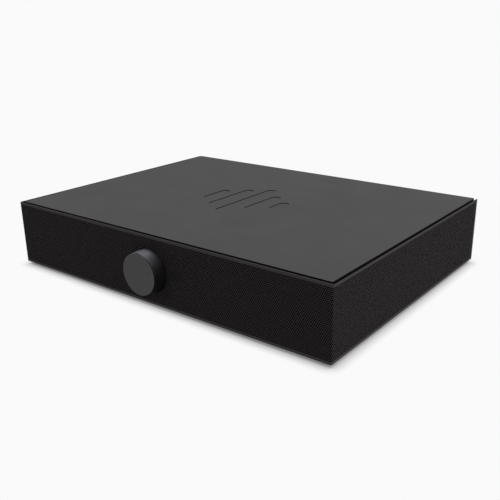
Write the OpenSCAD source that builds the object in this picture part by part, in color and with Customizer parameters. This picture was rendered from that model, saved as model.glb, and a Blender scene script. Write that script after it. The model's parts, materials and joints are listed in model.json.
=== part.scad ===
// Low, wide powered speaker base: a perforated metal grille wraps the front and
// both sides, a flat slab covers the top and one large knob sits in the middle of
// the front. X runs to the right seen from the front, Y to the back, Z up.
// The origin is under the middle of the whole part, on the surface it stands on.
// All sizes are in millimetres.

/* [Body] */
// Width over the grille
body_w = 450; // [440:1:480]
// Depth from the grille's front face to its rear edges
body_d = 333; // [325:1:360]
// Height of the grille from its bottom edge to its rim
body_h = 77.2; // [76:0.2:86]

/* [Grille] */
// Thickness of the grille's sheet
sheet_t = 0.8; // [0.7:0.1:1.2]
// Air gap between the grille and the baffles behind it
air_gap = 5; // [5:0.5:7]
// Outer radius of the two folded corners
grille_corner_r = 1.2; // [1.1:0.1:3]
// Diameter of the round cut-out that the knob stands in
knob_cutout_d = 49; // [48.6:0.2:56]

/* [Top plate] */
// Thickness of the top plate
plate_t = 5; // [4:0.5:6]
// Height of the plate's top above the grille's rim
plate_proud = 0.4; // [0:0.1:1]
// Distance from the grille's front face back to the plate's front edge
plate_inset_front = 4.2; // [3:0.1:6]
// Distance from the grille's side faces in to the plate's side edges
plate_inset_side = 3.6; // [3:0.1:6]
// Distance from the grille's rear edges to the plate's rear edge
plate_inset_rear = 0.7; // [0:0.1:3]
// Thickness of the soft pads under the plate
pad_t = 1.5; // [1:0.1:2]
// Length of the longest bar of the level-meter mark pressed into the plate
mark_l = 112; // [60:1:160]
// Depth of the mark
mark_depth = 0.8; // [0.3:0.1:1.5]

/* [Cabinet] */
// Thickness of the front and side baffles
baffle_t = 12; // [10:1:14]
// Thickness of the inner lid, the bottom panel and the inner walls
board_t = 6; // [5:0.5:6]
// Thickness of the metal rear panel
panel_t = 2; // [1.5:0.1:2.5]
// Distance from the grille's rear edges forward to the rear panel's outer face
panel_inset = 1; // [0.5:0.1:2]

/* [Knob] */
// Diameter of the knob
knob_d = 47.4; // [40:0.2:47.4]
// How far the knob stands out of the grille's front face
knob_out = 16.2; // [12:0.2:20]
// Height of the knob's axis above the grille's bottom edge
knob_z = 38.6; // [36:0.1:42]
// Travel of the knob when it is pushed
knob_push = 0.8; // [0.3:0.1:1]

/* [Drivers] */
// Distance of each woofer from the middle of the front
woofer_x = 150; // [125:1:160]
// Side of the woofer's square flange
woofer_flange = 66; // [62:0.5:67]
// Distance of the side tweeters in front of the middle of the body
tweeter_y = 85; // [60:1:100]
// Radius of the tweeter's round flange
tweeter_flange_r = 22; // [20:0.5:24]

/* [Feet] */
// Height that the feet stand below the grille
feet_h = 4; // [3:0.5:8]
// Radius of each foot
foot_r = 15; // [10:0.5:16]
// Distance of each foot's middle from the sides and ends of the body
foot_inset = 35; // [34:1:60]

/* [Rear sockets] */
// Height of the middle of the socket row above the surface
socket_z = 40; // [38:0.5:44]
// Radius of the outer shell of a phono socket
rca_r = 4.15; // [4.1:0.01:4.2]
// Length of a phono socket outside the rear panel
rca_out = 9; // [8:0.5:10]
// Distance between two stacked phono sockets
rca_pitch = 14; // [13:0.5:16]
// Radius of the headphone socket's bore
headphone_r = 1.8; // [1.75:0.01:1.9]
// Length of the grounding stud outside the rear panel
stud_out = 15; // [13:0.5:18]
// Radius of the grounding stud
stud_r = 2; // [1.5:0.1:2.2]

/* [Hidden] */
$fn = 64;

// The part is centred on its whole length, knob and grounding stud included.
body_cy = (knob_out - (stud_out - panel_inset)) / 2;
front_y = body_cy - body_d / 2;
rear_y = body_cy + body_d / 2;
base_z = feet_h;
rim_z = base_z + body_h;
top_z = rim_z + plate_proud;

// The cabinet stands inside the grille.
cab_in = sheet_t + air_gap;
cab_x = body_w / 2 - cab_in;
cab_front = front_y + cab_in;
panel_y = rear_y - panel_inset;
cab_rear = panel_y - panel_t;
cab_z0 = base_z + 1;
cab_z1 = top_z - plate_t - pad_t;
cab_mid = (cab_z0 + cab_z1) / 2;
room_x = cab_x - baffle_t;
room_front = cab_front + baffle_t;
room_z0 = cab_z0 + board_t;
room_z1 = cab_z1 - board_t;
wall_y = body_cy + 46;
wall_x = 60;
plate_rear = rear_y - plate_inset_rear;
plate_front = front_y + plate_inset_front;
plate_x = body_w / 2 - plate_inset_side;
rail_h = 3.5;

// Screws
screw_r = 1.5;
screw_head_r = 3;
screw_head_h = 1.8;
pilot_r = 1.55;
screw_hole_r = 1.7;

// Knob and encoder
knob_r = knob_d / 2;
knob_axis_z = base_z + knob_z;
knob_back = 3;
knob_face_t = 3.5;
knob_wall = 3.6;
shaft_r = 3;
bushing_r = 3.5;
bushing_out = 3.5;
encoder_web = 3;
encoder_side = 13;
shaft_tail = 8;
plunger_l = 1.6;
set_screw_r = 1.45;

// Woofers, described with Z pointing out of the baffle from the flange's face
flange_t = 2.5;
seat_depth = 1.5;
seat_r = 29.6;
woofer_hole_r = 28.8;
roll_r = 2.25;
roll_mid_r = 25.75;
cone_r = 23.4;
coil_r = 10.1;
cone_depth = 13;
basket_depth = 17.5;
magnet_depth = 32;
woofer_bolt = 27.5;

// Tweeters, described in the same way
tweeter_bolt_r = 18.5;
tweeter_body_r = 15.5;
tweeter_depth = 16;
tweeter_mouth_r = 12.2;

// Inside the electronics bay
pcb_t = 1.6;
pcb_z = room_z0 + 5;
pcb_top = pcb_z + pcb_t;
pcb_front = wall_y + 20;
pcb_rear = cab_rear - 2;
main_pcb_x0 = -135;
main_pcb_x1 = 115;
power_pcb_x0 = 122;
power_pcb_x1 = 204;
ribbon_w = 20;
ribbon_t = 0.8;
lead_r = 1.5;

// Places along the rear panel
mains_x = 185;
mains_z = socket_z - 6;
rocker_x = 150;
usb_x = 98;
optical_x = 72;
sub_x = 20;
line_x = -15;
phono_x = -50;
input_x = -80;
ground_x = -105;
headphone_x = -150;
jack_w = 12;
jack_h = 32;
jack_deep = 12;

// Mains inlet
inlet_w = 19;
inlet_h = 12;
inlet_deep = 18;
inlet_lobe_r = 4.1;
inlet_pin_r = 1.2;
inlet_pin_x = 4.3;
inlet_recess = 10;

// Rocker switch, with the pivot just inside the panel
rocker_w = 10.6;
rocker_tilt = 9;
rocker_pivot_in = 1;
rocker_pin_r = 1.2;
switch_w = 13;
switch_h = 20;
switch_open_w = 11;
switch_open_h = 18;

// Optical socket and its shutter
optical_side = 13;
optical_open = 10;
optical_deep = 13;
shutter_w = 9.4;
shutter_t = 0.4;
shutter_pivot_up = 4.1;
shutter_pivot_in = 2.4;
shutter_pin_r = 0.5;

// Grounding post
post_base_h = 1.5;
washer_t = 1;
nut_h = 6;
nut_r = 5;

// Slide switch
slot_w = 8.6;
slot_h = 3.6;
slider_w = 4;
slider_h = 3;
slider_travel = 4;

// ---------- shared shapes ----------

// Flat rectangle with true round corners, centred
module round_rect(w, h, r) {
    square([w - 2 * r, h], center = true);
    square([w, h - 2 * r], center = true);
    for (sx = [-1, 1], sy = [-1, 1])
        translate([sx * (w / 2 - r), sy * (h / 2 - r)]) circle(r);
}

// Box from one corner to the opposite one
module block(low, high) {
    translate(low) cube([high[0] - low[0], high[1] - low[1], high[2] - low[2]]);
}

// Screw whose head stands on Z = 0 and whose shank goes down
module screw(shank_l, r = screw_r, head_r = screw_head_r, head_h = screw_head_h) {
    difference() {
        cylinder(h = head_h, r = head_r);
        for (a = [0, 90])
            rotate(a) translate([-head_r * 0.6, -0.4, head_h - 1])
                cube([head_r * 1.2, 0.8, 2]);
    }
    translate([0, 0, -shank_l]) cylinder(h = shank_l + 0.2, r = r);
}

// Places with their own Z pointing out of a face of the part
module facing_front(x, y, z) { translate([x, y, z]) rotate([90, 0, 0]) children(); }
module facing_rear(x, z) { translate([x, panel_y, z]) rotate([-90, 0, 0]) children(); }
module facing_side(side) {
    translate([side * cab_x, body_cy - tweeter_y, cab_mid])
        rotate([0, side * 90, 0]) children();
}
module at_woofer(side) { facing_front(side * woofer_x, cab_front, cab_mid) children(); }

// Straight eight-sided rod between two points, run on by a lap at each end
module rod(from, to, r, lap_from, lap_to) {
    d = to - from;
    l = norm(d);
    translate(from)
        rotate([0, acos(d[2] / l), atan2(d[1], d[0])])
            translate([0, 0, -lap_from]) cylinder(h = lap_from + l + lap_to, r = r, $fn = 8);
}

// Lead through a list of points, whose lengths run into each other at the bends
module lead(points, r) {
    last = len(points) - 1;
    for (i = [1 : last])
        rod(points[i - 1], points[i], r, i > 1 ? r / 2 : 0, i < last ? r / 2 : 0);
}

// ---------- grille and top ----------

// One sheet folded round the front and both sides
module grille() {
    color([0.05, 0.05, 0.055])
    difference() {
        translate([0, 0, base_z]) linear_extrude(body_h) difference() {
            translate([0, body_cy])
                round_rect(body_w, body_d, grille_corner_r);
            translate([-body_w / 2 + sheet_t, front_y + sheet_t])
                square([body_w - 2 * sheet_t, body_d]);
        }
        facing_front(0, front_y + 5, knob_axis_z) cylinder(h = 10, d = knob_cutout_d, $fn = 128);
    }
}

// Two bars that hold the grille's top and bottom margins off the baffles
module grille_rails() {
    gap = 0.1;
    color([0.06, 0.06, 0.06])
    for (z = [cab_z0, cab_z1 - rail_h])
        translate([0, 0, z]) linear_extrude(rail_h) difference() {
            translate([-body_w / 2 + sheet_t + gap, front_y + sheet_t + gap])
                square([body_w - 2 * sheet_t - 2 * gap, cab_rear - front_y - sheet_t - 2 * gap]);
            translate([-cab_x - gap, cab_front - gap])
                square([2 * cab_x + 2 * gap, body_d]);
        }
}

// Level-meter mark: five upright bars with round ends, cut out of the plate
module level_mark() {
    bar_w = 13;
    bar_pitch = 24;
    for (i = [-2 : 2]) {
        share = [0.4, 0.72, 1, 0.58, 0.28][i + 2];
        half = share * mark_l / 2 - bar_w / 2;
        translate([i * bar_pitch, 0]) {
            square([bar_w, 2 * half], center = true);
            for (s = [-1, 1]) translate([0, s * half]) circle(d = bar_w);
        }
    }
}

module top_plate() {
    mid_y = (plate_front + plate_rear) / 2;
    color([0.085, 0.085, 0.09])
    difference() {
        translate([0, mid_y, top_z - plate_t]) linear_extrude(plate_t)
            round_rect(2 * plate_x, plate_rear - plate_front, 1);
        translate([0, mid_y, top_z - mark_depth]) linear_extrude(plate_t) level_mark();
    }
}

// Soft discs between the inner lid and the plate
module plate_pads() {
    color([0.1, 0.1, 0.1])
    for (x = [-170, 0, 170], y = [-120, 120])
        translate([x, body_cy + y, cab_z1]) cylinder(h = pad_t, r = 8);
}

// ---------- cabinet ----------

// Cut for a woofer: the flange's recess, the round hole and the screws' pilots
module woofer_cut() {
    side = woofer_flange + 0.4;
    translate([0, 0, -flange_t]) linear_extrude(flange_t + 1) round_rect(side, side, 4);
    translate([0, 0, -baffle_t - 1]) cylinder(h = baffle_t + 2, r = woofer_hole_r);
    for (sx = [-1, 1], sy = [-1, 1])
        translate([sx * woofer_bolt, sy * woofer_bolt, -baffle_t + 1]) cylinder(h = baffle_t, r = pilot_r);
}

module tweeter_cut() {
    translate([0, 0, -2]) cylinder(h = 3, r = tweeter_flange_r + 0.2);
    translate([0, 0, -baffle_t - 1]) cylinder(h = baffle_t + 2, r = tweeter_body_r + 0.5);
    for (a = [45 : 90 : 315])
        rotate(a) translate([tweeter_bolt_r, 0, -baffle_t + 1]) cylinder(h = baffle_t, r = pilot_r);
}

// Where the rear panel's screws stand, as [x, z]
function rear_screw_points() = concat(
    [for (s = [-1, 1], z = [cab_z0 + 12, cab_z1 - 12]) [s * (room_x + baffle_t / 2), z]],
    [for (x = [-130, 0, 130], z = [cab_z0 + board_t / 2, cab_z1 - board_t / 2]) [x, z]]);
module rear_pilots() {
    for (p = rear_screw_points())
        translate([p[0], cab_rear - 9, p[1]]) rotate([-90, 0, 0]) cylinder(h = 10, r = pilot_r);
}

module foot_points() {
    for (sx = [-1, 1], sy = [-1, 1])
        translate([sx * (body_w / 2 - foot_inset), body_cy + sy * (body_d / 2 - foot_inset), 0]) children();
}

module front_baffle() {
    color([0.07, 0.07, 0.07])
    difference() {
        block([-cab_x, cab_front, cab_z0], [cab_x, room_front, cab_z1]);
        for (side = [-1, 1]) at_woofer(side) woofer_cut();
        // pocket for the encoder, behind a thin web with a round hole
        block([-encoder_side / 2 - 1, cab_front + encoder_web, knob_axis_z - encoder_side / 2 - 1],
              [encoder_side / 2 + 1, room_front + 1, knob_axis_z + encoder_side / 2 + 1]);
        facing_front(0, room_front, knob_axis_z) cylinder(h = baffle_t + 1, r = bushing_r + 0.1);
    }
}

module side_baffle(side) {
    color([0.07, 0.07, 0.07])
    difference() {
        inner_x = side > 0 ? room_x : -cab_x;
        block([inner_x, room_front, cab_z0], [inner_x + baffle_t, cab_rear, cab_z1]);
        facing_side(side) tweeter_cut();
        rear_pilots();
    }
}
module left_baffle() { side_baffle(-1); }
module right_baffle() { side_baffle(1); }

module inner_lid() {
    color([0.5, 0.4, 0.3])
    difference() {
        block([-room_x, room_front, room_z1], [room_x, cab_rear, cab_z1]);
        rear_pilots();
    }
}

// Bottom panel with two rows of cooling slots under the electronics
module bottom_panel() {
    slot_l = 34;
    slot_gap = 12;
    color([0.08, 0.08, 0.08])
    difference() {
        block([-room_x, room_front, cab_z0], [room_x, cab_rear, room_z0]);
        foot_points() cylinder(h = cab_z0 + 5, r = pilot_r);
        rear_pilots();
        for (i = [0 : 9], y = [wall_y + 32, wall_y + 78])
            translate([-54 + i * slot_gap, y, cab_z0 - 1]) linear_extrude(board_t + 2)
                round_rect(3, slot_l, 1.4);
    }
}

// Wall between the speaker chambers and the electronics bay
module bay_wall() {
    color([0.5, 0.4, 0.3])
    difference() {
        block([-room_x, wall_y, room_z0], [room_x, wall_y + board_t, room_z1]);
        block([-ribbon_w / 2 - 1, wall_y - 1, room_z0 - 1],
              [ribbon_w / 2 + 1, wall_y + board_t + 1, room_z0 + 2.5]);
        for (x = [-150, -80, 80, 150])
            translate([x, wall_y - 1, room_z0 + 15]) rotate([-90, 0, 0])
                cylinder(h = board_t + 2, r = lead_r + 0.3);
    }
}
module partition(side) {
    x = side > 0 ? wall_x : -wall_x - board_t;
    color([0.5, 0.4, 0.3])
        block([x, room_front, room_z0], [x + board_t, wall_y, room_z1]);
}
module left_partition() { partition(-1); }
module right_partition() { partition(1); }

// Metal panel across the back, with a hole for each socket
module rear_panel() {
    side_gap = 0.4;
    color([0.06, 0.06, 0.065])
    difference() {
        block([-body_w / 2 + sheet_t + side_gap, cab_rear, cab_z0],
              [body_w / 2 - sheet_t - side_gap, panel_y, cab_z1]);
        for (p = rear_screw_points()) facing_rear(p[0], p[1])
            translate([0, 0, -panel_t - 1]) cylinder(h = panel_t + 2, r = screw_hole_r);
        for (x = [line_x, phono_x], s = [-1, 1])
            rear_round_hole(x, socket_z + s * rca_pitch / 2, rca_r + 0.3);
        rear_round_hole(sub_x, socket_z + rca_pitch / 2, rca_r + 0.3);
        rear_round_hole(headphone_x, socket_z, 3.2);
        rear_round_hole(ground_x, socket_z, stud_r + 0.3);
        rear_square_hole(mains_x, mains_z, inlet_w + 0.4, inlet_h + 0.4);
        rear_square_hole(rocker_x, socket_z, switch_w + 0.4, switch_h + 0.4);
        rear_square_hole(usb_x, socket_z - 6, 12.4, 11.4);
        rear_square_hole(optical_x, socket_z - 6, optical_side + 0.4, optical_side + 0.4);
        rear_square_hole(input_x, socket_z, slot_w, slot_h);
    }
}
module rear_round_hole(x, z, r) {
    facing_rear(x, z) translate([0, 0, -panel_t - 1]) cylinder(h = panel_t + 2, r = r);
}
module rear_square_hole(x, z, w, h) {
    facing_rear(x, z) translate([0, 0, -panel_t / 2]) cube([w, h, panel_t + 2], center = true);
}

module rear_screws() {
    color([0.1, 0.1, 0.1])
    for (p = rear_screw_points()) facing_rear(p[0], p[1]) screw(panel_t + 6);
}

// Rubber feet with a stepped hole for the screw
module feet() {
    color([0.04, 0.04, 0.04])
    foot_points() rotate_extrude($fn = 96) polygon([
        [screw_hole_r, 2.6], [5, 2.6], [5, 0], [foot_r - 1, 0], [foot_r, 1], [foot_r, cab_z0],
        [screw_hole_r, cab_z0]]);
}
module foot_screws() {
    color([0.3, 0.3, 0.32])
    foot_points() translate([0, 0, 2.6]) rotate([180, 0, 0]) screw(cab_z0 - 2.6 + 4, head_r = 3.6);
}

// ---------- knob and encoder ----------

// Solid face, hollow back and a hub on the shaft
module knob() {
    edge = 0.7;
    full = knob_out + knob_back;
    hub_r = 6;
    hub_back = 5;
    color([0.22, 0.22, 0.23])
    difference() {
        facing_front(0, front_y + knob_back, knob_axis_z) rotate_extrude($fn = 160) polygon([
            [shaft_r + 0.03, knob_back - air_gap - sheet_t + hub_back],
            [hub_r, knob_back - air_gap - sheet_t + hub_back],
            [hub_r, full - knob_face_t], [knob_r - knob_wall, full - knob_face_t],
            [knob_r - knob_wall, 0], [knob_r, 0],
            [knob_r, full - edge], [knob_r - edge, full], [0, full],
            [0, full - knob_face_t], [shaft_r + 0.03, full - knob_face_t]]);
        translate([0, front_y - 6, knob_axis_z - knob_r - 1]) cylinder(h = knob_r + 1, r = set_screw_r + 0.05);
    }
}

// Grub screw that locks the knob on its shaft
module knob_set_screw() {
    color([0.5, 0.5, 0.52])
    difference() {
        translate([0, front_y - 6, knob_axis_z - 6.5]) cylinder(h = 3.4, r = set_screw_r);
        translate([0, front_y - 6, knob_axis_z - 6.6]) cylinder(h = 1.5, r = 0.7, $fn = 6);
    }
}

module encoder_shaft() {
    from = cab_front + shaft_tail;
    to = front_y - knob_out + knob_face_t + 0.2;
    color([0.6, 0.6, 0.62])
        facing_front(0, from, knob_axis_z) cylinder(h = from - to, r = shaft_r);
}

// Disc under the shaft's end that works the push contact
module encoder_plunger() {
    color([0.7, 0.7, 0.68])
        translate([0, cab_front + shaft_tail + 0.1, knob_axis_z]) rotate([-90, 0, 0]) {
            cylinder(h = 1, r = 3.6);
            cylinder(h = plunger_l, r = 1.5);
        }
}

// Encoder housing with its bushing and the hollow that the plunger moves in
module encoder_body() {
    half = encoder_side / 2;
    color([0.35, 0.36, 0.38])
    difference() {
        union() {
            block([-half, cab_front + encoder_web, knob_axis_z - half],
                  [half, room_front, knob_axis_z + half]);
            facing_front(0, cab_front + encoder_web + 0.5, knob_axis_z)
                cylinder(h = encoder_web + 0.5 + bushing_out, r = bushing_r);
        }
        facing_front(0, cab_front + shaft_tail, knob_axis_z) cylinder(h = 20, r = shaft_r + 0.05);
        facing_front(0, cab_front + shaft_tail + plunger_l + knob_push + 0.6, knob_axis_z)
            cylinder(h = plunger_l + knob_push + 1.6, r = 4);
    }
}

module encoder_nut() {
    across = 10;
    color([0.6, 0.6, 0.62])
    facing_front(0, cab_front, knob_axis_z) difference() {
        cylinder(h = 2, d = across / cos(30), $fn = 6);
        translate([0, 0, -1]) cylinder(h = 4, r = bushing_r + 0.05);
    }
}

module control_board() {
    color([0.05, 0.25, 0.12])
    block([-27, room_front, knob_axis_z - 20], [27, room_front + pcb_t, knob_axis_z + 18]);
}

// ---------- woofers ----------

// Flange, seat for the surround and an open basket down to the magnet
module woofer_basket() {
    color([0.13, 0.13, 0.13])
    difference() {
        union() {
            translate([0, 0, -flange_t]) linear_extrude(flange_t)
                round_rect(woofer_flange, woofer_flange, 4);
            rotate_extrude($fn = 96) polygon([
                [27.4, -2], [28.5, -2], [28.5, -7], [22, -basket_depth], [12.5, -basket_depth],
                [12.5, -basket_depth + 1.5], [20.8, -basket_depth + 1.5], [27, -6.5]]);
        }
        translate([0, 0, -seat_depth]) cylinder(h = seat_depth + 1, r = seat_r);
        translate([0, 0, -flange_t - 1]) cylinder(h = flange_t, r = 27.4);
        for (a = [0 : 60 : 300])
            rotate(a) translate([14, -5.5, -basket_depth + 1.5]) cube([16, 11, 7]);
        for (sx = [-1, 1], sy = [-1, 1])
            translate([sx * woofer_bolt, sy * woofer_bolt, -flange_t - 1])
                cylinder(h = flange_t + 2, r = screw_hole_r);
    }
}

// Ring magnet between two plates, with the pole in the middle
module woofer_magnet() {
    front_plate = 3;
    back_plate = 3;
    pole_r = 9.2;
    gap_r = 11.2;
    color([0.2, 0.2, 0.21])
    rotate_extrude($fn = 96) polygon([
        [0, -magnet_depth], [20.5, -magnet_depth], [20.5, -magnet_depth + back_plate],
        [22.5, -magnet_depth + back_plate], [22.5, -basket_depth - front_plate],
        [20.5, -basket_depth - front_plate], [20.5, -basket_depth],
        [gap_r, -basket_depth], [gap_r, -basket_depth - front_plate],
        [13, -basket_depth - front_plate], [13, -magnet_depth + back_plate],
        [pole_r, -magnet_depth + back_plate], [pole_r, -basket_depth], [0, -basket_depth]]);
}

// Paper cone, dust cap and voice coil in one turned shape
module woofer_cone() {
    wall = 0.8;
    color([0.16, 0.16, 0.17])
    rotate_extrude($fn = 96) polygon([
        [0, -cone_depth + 5.4], [4, -cone_depth + 5], [8, -cone_depth + 3.4], [coil_r, -cone_depth + 1.6],
        [cone_r - 1, -seat_depth], [cone_r, -seat_depth], [cone_r, -seat_depth - wall],
        [coil_r, -cone_depth - 0.2], [coil_r, -basket_depth - 6], [coil_r - 0.4, -basket_depth - 6],
        [coil_r - 0.4, -cone_depth + 0.2], [8, -cone_depth + 2.6], [4, -cone_depth + 4.2],
        [0, -cone_depth + 4.6]]);
}

// Half-round rubber roll with a lip on the cone and a lip on the basket's seat
module woofer_surround() {
    skin = 0.6;
    lip = 1;
    color([0.05, 0.05, 0.05])
    translate([0, 0, -seat_depth + 0.02]) rotate_extrude($fn = 96) {
        intersection() {
            translate([roll_mid_r, 0]) difference() {
                circle(roll_r);
                circle(roll_r - skin);
            }
            square([40, 10]);
        }
        translate([roll_mid_r - roll_r - lip, 0]) square([lip + skin / 2, skin]);
        translate([roll_mid_r + roll_r - skin / 2, 0]) square([lip + skin / 2, skin]);
    }
}

module left_woofer_basket() { at_woofer(-1) woofer_basket(); }
module left_woofer_magnet() { at_woofer(-1) woofer_magnet(); }
module left_woofer_cone() { at_woofer(-1) woofer_cone(); }
module left_woofer_surround() { at_woofer(-1) woofer_surround(); }
module right_woofer_basket() { at_woofer(1) woofer_basket(); }
module right_woofer_magnet() { at_woofer(1) woofer_magnet(); }
module right_woofer_cone() { at_woofer(1) woofer_cone(); }
module right_woofer_surround() { at_woofer(1) woofer_surround(); }

// ---------- tweeters ----------

// Flange and motor with a ring-shaped gap for the coil
module tweeter() {
    color([0.12, 0.12, 0.12])
    difference() {
        rotate_extrude($fn = 96) polygon([
            [0, -tweeter_depth], [tweeter_body_r, -tweeter_depth], [tweeter_body_r, -2],
            [tweeter_flange_r, -2], [tweeter_flange_r, 0], [tweeter_mouth_r + 1.5, 0],
            [tweeter_mouth_r, -1.5], [11.2, -1.5], [11.2, -9], [8.8, -9], [8.8, -1.5], [0, -1.5]]);
        for (a = [45 : 90 : 315])
            rotate(a) translate([tweeter_bolt_r, 0, -3]) cylinder(h = 4, r = screw_hole_r);
    }
}

// Thin dome with its coil
module tweeter_dome() {
    sphere_r = 13;
    skin = 0.5;
    drop = sqrt(sphere_r * sphere_r - 100);
    color([0.25, 0.25, 0.26])
    rotate_extrude($fn = 96) {
        translate([0, -drop - 0.4]) difference() {
            intersection() {
                circle(sphere_r, $fn = 128);
                translate([0, drop]) square([20, 20]);
            }
            circle(sphere_r - skin, $fn = 128);
        }
        translate([9.6, -0.4 - skin]) square([2, skin]);
        translate([9.6, -6.5]) square([0.6, 6.1]);
    }
}
module left_tweeter() { facing_side(-1) tweeter(); }
module left_dome() { facing_side(-1) tweeter_dome(); }
module right_tweeter() { facing_side(1) tweeter(); }
module right_dome() { facing_side(1) tweeter_dome(); }

module driver_screws() {
    color([0.1, 0.1, 0.1])
    for (side = [-1, 1]) {
        at_woofer(side) for (sx = [-1, 1], sy = [-1, 1])
            translate([sx * woofer_bolt, sy * woofer_bolt, 0]) screw(9);
        facing_side(side) for (a = [45 : 90 : 315])
            rotate(a) translate([tweeter_bolt_r, 0, 0]) screw(9, head_r = 2.8);
    }
}

// ---------- electronics ----------

module main_board() {
    color([0.04, 0.22, 0.1])
    block([main_pcb_x0, pcb_front, pcb_z], [main_pcb_x1, pcb_rear, pcb_top]);
}
module power_board() {
    color([0.45, 0.33, 0.15])
    block([power_pcb_x0, pcb_front, pcb_z], [power_pcb_x1, pcb_rear, pcb_top]);
}

// Flat chip packages and small connectors on the main board
module main_chips() {
    chip_y = pcb_front + 14;
    color([0.05, 0.05, 0.05]) {
        for (x = [-110, -85]) block([x, chip_y, pcb_top], [x + 14, chip_y + 14, pcb_top + 1.6]);
        for (i = [0 : 3]) block([60 + i * 13, chip_y, pcb_top], [68 + i * 13, chip_y + 6, pcb_top + 1.8]);
        for (x = [-128, 92]) block([x, pcb_front + 3, pcb_top], [x + 12, pcb_front + 9, pcb_top + 7]);
        block([45, chip_y + 20, pcb_top], [57, chip_y + 32, pcb_top + 1.4]);
    }
}

// Electrolytic capacitors, two large and a row of small ones
module capacitors() {
    color([0.12, 0.14, 0.3]) {
        for (y = [24, 50]) translate([136, pcb_front + y, pcb_top]) cylinder(h = 32, r = 11);
        for (i = [0 : 4]) translate([-125 + i * 14, pcb_front + 44, pcb_top]) cylinder(h = 12, r = 4);
    }
}

// Finned block over the amplifier
module heat_sink() {
    fin_h = 24;
    color([0.7, 0.7, 0.72])
    translate([-35, pcb_front + 12, pcb_top]) {
        cube([66, 34, 4]);
        for (i = [0 : 8]) translate([i * 8, 0, 0]) cube([2, 34, fin_h]);
    }
}

// Laminated core with a winding on each side
module transformer() {
    color([0.35, 0.3, 0.2])
    translate([156, pcb_front + 8, pcb_top]) {
        cube([40, 14, 34]);
        translate([4, -5, 4]) cube([32, 24, 26]);
    }
}

module standoffs() {
    inset = 5;
    color([0.75, 0.7, 0.5])
    for (x = [main_pcb_x0 + inset, main_pcb_x1 - inset, power_pcb_x0 + inset, power_pcb_x1 - inset],
         y = [pcb_front + inset, pcb_rear - inset - 14])
        translate([x, y, room_z0]) cylinder(h = pcb_z - room_z0, r = 2.5);
}

// Flat cable from the control board, along the floor and up onto the main board
module ribbon_cable() {
    half = ribbon_w / 2;
    back = room_front + pcb_t;
    floor_z = room_z0 + 0.4;
    rise_y = pcb_front - 4;
    color([0.6, 0.6, 0.62]) {
        block([-half, back, floor_z], [half, back + ribbon_t, knob_axis_z - 8]);
        block([-half, back, floor_z], [half, rise_y, floor_z + ribbon_t]);
        block([-half, rise_y - ribbon_t, floor_z], [half, rise_y, pcb_top + ribbon_t]);
        block([-half, rise_y - ribbon_t, pcb_top], [half, pcb_front + 8, pcb_top + ribbon_t]);
    }
}

// Leads from the boards through the wall to the four drivers
module speaker_leads() {
    lead_z = room_z0 + 15;
    from_y = pcb_front + 2;
    woofer_y = cab_front + magnet_depth;
    tweeter_back = cab_x - tweeter_depth;
    tail = 12;
    color([0.35, 0.08, 0.08])
    for (side = [-1, 1]) {
        lead([[side * 80, from_y, lead_z], [side * 80, wall_y - 20, lead_z],
              [side * woofer_x, woofer_y + tail, cab_mid], [side * woofer_x, woofer_y, cab_mid]], lead_r);
        lead([[side * 150, from_y, lead_z], [side * 150, wall_y - 20, lead_z],
              [side * (tweeter_back - tail), body_cy - tweeter_y, cab_mid],
              [side * tweeter_back, body_cy - tweeter_y, cab_mid]], lead_r);
    }
}

// ---------- rear sockets ----------

// Inlet with a rounded recess and two round pins
module mains_inlet() {
    color([0.03, 0.03, 0.03])
    facing_rear(mains_x, mains_z) {
        difference() {
            translate([0, 0, -inlet_deep]) linear_extrude(inlet_deep + 0.8)
                round_rect(inlet_w, inlet_h, 2);
            translate([0, 0, -inlet_recess]) linear_extrude(inlet_recess + 2) {
                square([2 * inlet_pin_x, 2 * inlet_lobe_r], center = true);
                for (s = [-1, 1]) translate([s * inlet_pin_x, 0]) circle(inlet_lobe_r);
            }
        }
        for (s = [-1, 1]) translate([s * inlet_pin_x, 0, -inlet_recess - 1])
            cylinder(h = inlet_recess, r = inlet_pin_r);
    }
}

// Bezel and housing of the rocker switch
module power_switch() {
    deep = 13;
    color([0.04, 0.04, 0.04])
    facing_rear(rocker_x, socket_z) difference() {
        union() {
            linear_extrude(1.2) round_rect(switch_w + 2.4, switch_h + 2.4, 1.5);
            translate([0, 0, -deep / 2]) cube([switch_w, switch_h, deep + 0.4], center = true);
        }
        translate([0, 0, 2 - (deep - 3) / 2]) cube([switch_open_w, switch_open_h, deep - 1], center = true);
        translate([-switch_w, 0, -rocker_pivot_in]) rotate([0, 90, 0])
            cylinder(h = 2 * switch_w, r = rocker_pin_r + 0.05);
    }
}

// Rocker with two flats meeting in a shallow V, stored with its lower end pressed in
module power_rocker() {
    half_l = 8;
    apex = 3;
    rise = half_l * tan(rocker_tilt);
    color([0.05, 0.05, 0.05])
    translate([rocker_x, panel_y - rocker_pivot_in, socket_z]) rotate([-rocker_tilt, 0, 0]) {
        rotate([0, 90, 0]) translate([0, 0, -rocker_w / 2]) linear_extrude(rocker_w) polygon([
            [-half_l, apex + rise], [0, apex], [half_l, apex + rise],
            [6, -1.5], [2, -4], [-2, -4], [-6, -1.5]]);
        rotate([0, 90, 0]) translate([0, 0, -rocker_w / 2 - 0.8])
            cylinder(h = rocker_w + 1.6, r = rocker_pin_r);
    }
}

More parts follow.
